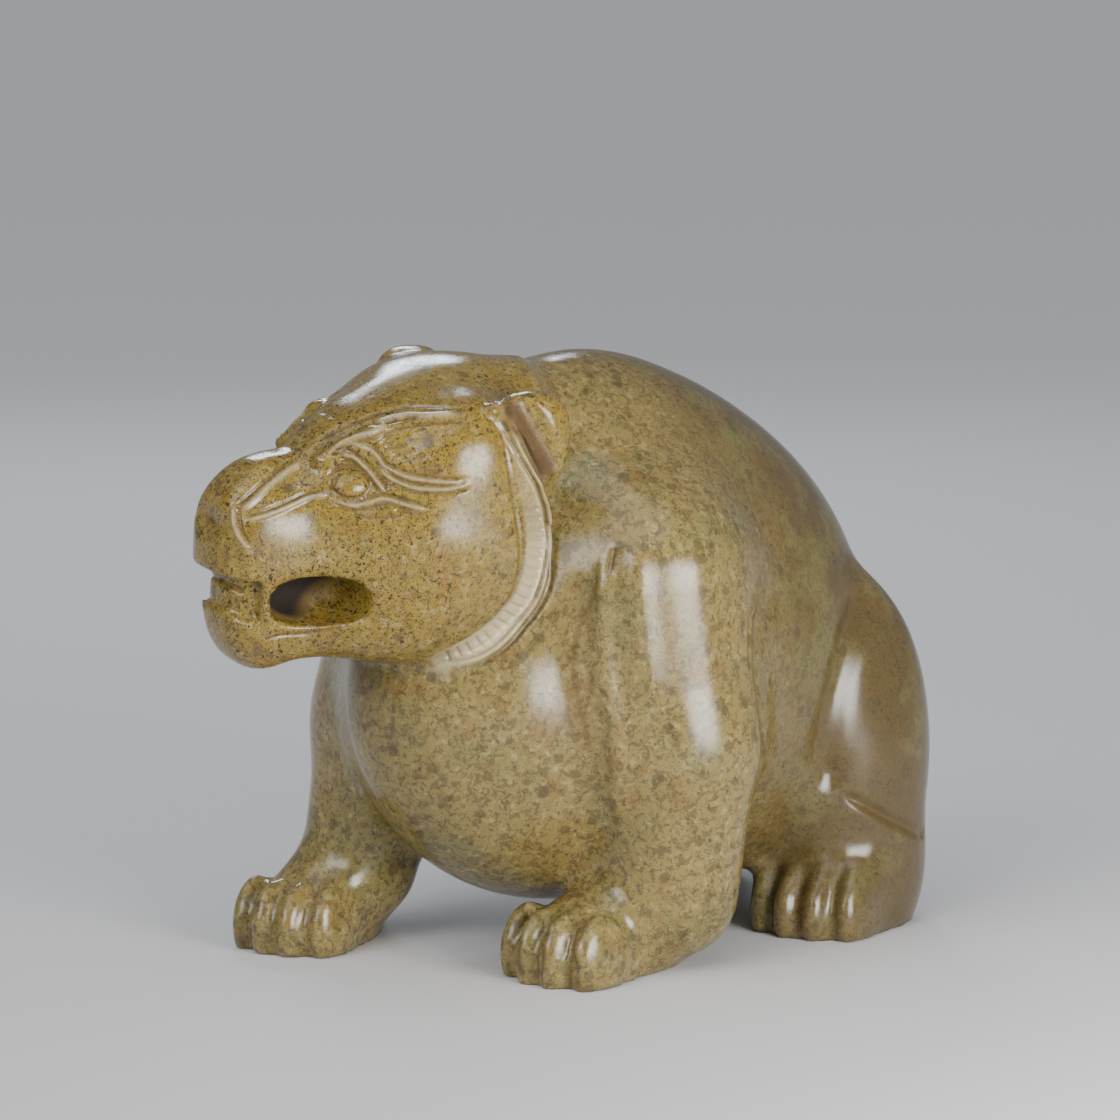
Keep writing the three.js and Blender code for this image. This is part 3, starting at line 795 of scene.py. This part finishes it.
def jade(piece):
    look = jadeLook
    t = Tree("polishedJade")
    here = t.node("ShaderNodeTexCoord", {}, {}, 3)
    mm = t.node("ShaderNodeVectorMath", {"operation": "SCALE"}, {0: here, "Scale": 1000.0})
    t.node("ShaderNodeSeparateXYZ", {}, {0: mm})
    y, z = Wire(t, t.last.outputs[1]), Wire(t, t.last.outputs[2])
    cut, proudHighlight, band, hollowShade, earHollowShade = (t.node("ShaderNodeAttribute", {"attribute_name": name}, {}, 2)
                                     for name in markNames)
    # gold on the head, olive on the chest and legs, and painted shade making the back and haunch darker and
    # browner
    headMask = t.ramp(z * 0.55 - y * 0.84 + t.noise(mm, 0.16, 2) * 6.0, 36.0, 48.0)
    backShadeMask = t.ramp(z * 0.2 + y * 0.9 + t.noise(mm, 0.12, 2) * 8.0, 10.0, 36.0)
    base = t.mix(backShadeMask, look["bodyOlive"], look["backShade"])
    base = t.mix(t.ramp(t.noise(mm, 0.11, 3, 0.6), 0.48, 0.66) * 0.6, base, look["greenish"])
    base = t.mix(headMask, base, look["headGold"])
    base = t.mix(t.ramp(t.noise(mm, 0.33, 4, 0.65), 0.5, 0.66) * (0.4 - backShadeMask * 0.25), base, look["rust"])
    base = t.mix(t.ramp(t.noise(mm, 0.85, 4, 0.65), 0.5, 0.72) * 0.5 * (1 - backShadeMask), base, look["pale"])
    # mottling of a millimetre or two, then dark specks that crowd on the muzzle
    muzzle = t.ramp(z * 0.1 - y, 24.0, 38.0)
    mottle = t.ramp(t.noise(mm, 0.95, 5, 0.74, 0.7), 0.5, 0.57)
    base = t.mix(mottle * (0.62 - headMask * 0.24 - backShadeMask * 0.12), base, look["greySpot"])
    crowd = t.ramp(t.noise(mm, 0.4, 2), 0.36, 0.62)
    density = 0.25 + headMask * 0.4 + crowd * 0.25 + muzzle * 0.1
    flecks = t.ramp(t.noise(mm, 2.2, 4, 0.7, 0.6), 0.55, 0.6) * density
    base = t.mix(flecks, base, look["speck"])
    grain = t.ramp(t.noise(mm, 5.2, 2, 0.65), 0.55, 0.64) * (0.3 + headMask * 0.35 + muzzle * 0.3)
    base = t.mix(grain, base, look["speck"])
    spots = t.node("ShaderNodeTexVoronoi", {}, {"Vector": mm, "Scale": 0.3, "Randomness": 1.0})
    base = t.mix((1 - t.ramp(spots + t.noise(mm, 2.5, 2) * 0.25, 0.26, 0.36)) * 0.65, base, look["greySpot"])
    # painted shade in the cuts and in the hollows of the mouth and ear, and painted highlights on the raised
    # cords and the ruff band
    base = t.mix(cut * 0.6, base, look["recessShade"])
    # painted shade in the ear's hollow
    base = t.mix(earHollowShade * 0.9, base, look["earHollowShade"])
    # painted shade deepening into the mouth hollows
    base = t.mix(t.ramp(hollowShade, 0.05, 0.55) * 0.85, base, look["recessShade"])
    base = t.mix(t.ramp(hollowShade, 0.45, 0.9), base, look["shade"])
    # painted highlights on the raised cords and the ruff band
    base = t.mix((proudHighlight * 0.4 + band * 0.65) * (1 - earHollowShade), base, look["paleHighlight"])
    # fine polishing scratches one way and the other
    lengthways = t.noise(t.stretch(mm, (0.5, 6.0, 7.0)), 1.6, 2, 0.6)
    crossways = t.noise(t.stretch(mm, (5.0, 0.7, 6.0)), 1.9, 2, 0.6)
    relief = lengthways * 0.35 + crossways * 0.3 + t.noise(mm, 5.5, 3, 0.6) * 0.35 - flecks * 0.15
    bump = t.node("ShaderNodeBump", {}, {"Strength": 0.2, "Distance": 0.00012, "Height": relief})
    rough = 0.05 + t.ramp(lengthways, 0.5, 0.75) * 0.1 + t.noise(mm, 0.8, 3) * 0.05
    rough = rough + flecks * 0.06 + band * 0.08
    rough = rough + t.ramp(hollowShade, 0.0, 0.5) * 0.8 + earHollowShade * 0.75 + backShadeMask * 0.08
    shader = t.node("ShaderNodeBsdfPrincipled", {}, {
        "Base Color": base, "Roughness": rough, "Normal": bump, "IOR": 1.5,
        "Subsurface Weight": 0.1, "Subsurface Radius": (1.0, 0.6, 0.3), "Subsurface Scale": 0.001})
    t.node("ShaderNodeOutputMaterial", {}, {"Surface": shader}, None)
    piece.data.materials.clear()
    piece.data.materials.append(t.material)
    print("jade finished")


# a flat paper floor that rises very gently far off, so that no horizon shows
stageLook = {"floor": (0.62, 0.62, 0.63), "flat": 2.0, "rings": 9, "growth": 1.3, "incline": 0.009,
             "sky": (0.92, 0.95, 1.0), "skyStrength": 0.26}


def makeFloor():
    bm = bmesh.new()
    bmesh.ops.create_circle(bm, cap_ends=True, radius=stageLook["flat"], segments=96)
    edges = list(bm.edges)
    reach, growth = stageLook["flat"], stageLook["growth"]
    for ring in range(stageLook["rings"]):
        grown = bmesh.ops.extrude_edge_only(bm, edges=edges)["geom"]
        rim = [g for g in grown if isinstance(g, bmesh.types.BMVert)]
        bmesh.ops.scale(bm, vec=(growth, growth, 1), verts=rim)
        climb = (growth - 1) * reach * stageLook["incline"] * (ring + 1)
        bmesh.ops.translate(bm, vec=(0, 0, climb), verts=rim)
        edges = [g for g in grown if isinstance(g, bmesh.types.BMEdge)]
        reach = reach * growth
    bmesh.ops.recalc_face_normals(bm, faces=bm.faces)
    for face in bm.faces:
        face.smooth = True
    mesh = bpy.data.meshes.new("floor")
    bm.to_mesh(mesh)
    bm.free()
    floor = bpy.data.objects.new("floor", mesh)
    bpy.context.scene.collection.objects.link(floor)
    t = Tree("floorPaper")
    shader = t.node("ShaderNodeBsdfPrincipled", {}, {"Base Color": stageLook["floor"], "Roughness": 0.9})
    t.node("ShaderNodeOutputMaterial", {}, {"Surface": shader}, None)
    mesh.materials.append(t.material)


def makeSky():
    world = bpy.data.worlds.new("studio")
    world.use_nodes = True
    background = world.node_tree.nodes["Background"]
    background.inputs[0].default_value = (*stageLook["sky"], 1)
    background.inputs[1].default_value = stageLook["skyStrength"]
    bpy.context.scene.world = world


# a wide soft light overhead, then panels at the bear's left, behind it and in front
overhead = {"towards": (0.15, -0.5, 0.9), "strength": 1.3, "spread": 1.2}
lamps = {
    "sideBox": {"at": (0.21, -0.018, 0.06), "size": (0.105, 0.1), "watts": 0.62, "colour": (1, 0.985, 0.96)},
    "backBox": {"at": (-0.42, 0.29, 0.38), "size": (0.18, 0.045), "watts": 0.7, "colour": (0.8, 0.88, 1)},
    "frontFill": {"at": (0.1, -0.75, 0.42), "size": (0.5, 0.4), "watts": 3.2, "colour": (1, 0.99, 0.97)},
}
lampAim = (0, 0, 0.04)


def hang(name, lamp, towards):
    holder = bpy.data.objects.new(name, lamp)
    holder.rotation_euler = towards.to_track_quat("Z", "Y").to_euler()
    bpy.context.scene.collection.objects.link(holder)
    return holder


def light(name, settings):
    lamp = bpy.data.lights.new(name, "AREA")
    lamp.shape = "RECTANGLE"
    lamp.size, lamp.size_y = settings["size"]
    lamp.energy = settings["watts"]
    lamp.color = settings["colour"]
    spot = Vector(settings["at"])
    holder = hang(name, lamp, spot - Vector(lampAim))
    holder.location = spot
    holder.visible_camera = False


def lightOverhead():
    sun = bpy.data.lights.new("overhead", "SUN")
    sun.energy = overhead["strength"]
    sun.angle = overhead["spread"]
    hang("overhead", sun, Vector(overhead["towards"]))


view = {"azimuth": 47.0, "rise": 7.5, "far": 0.4498, "aim": (0.001768, -0.000172, 0.0429), "lens": 134.13,
        "sensor": 36}


def camera():
    a, e = math.radians(view["azimuth"]), math.radians(view["rise"])
    back = Vector((math.sin(a) * math.cos(e), -math.cos(a) * math.cos(e), math.sin(e)))
    right = Vector((math.cos(a), math.sin(a), 0))
    up = back.cross(right)
    lens = bpy.data.cameras.new("camera")
    lens.lens = view["lens"]
    lens.sensor_width = view["sensor"]
    holder = bpy.data.objects.new("camera", lens)
    holder.matrix_world = (Matrix.Translation(Vector(view["aim"]) + back * view["far"])
                           @ Matrix((right, up, back)).transposed().to_4x4())
    bpy.context.scene.collection.objects.link(holder)
    bpy.context.scene.camera = holder


bearPiece = makeBear()
jade(bearPiece)
makeFloor()
makeSky()
lightOverhead()
for lampName, lampSettings in lamps.items():
    light(lampName, lampSettings)
camera()
print("floor, lights and camera placed")
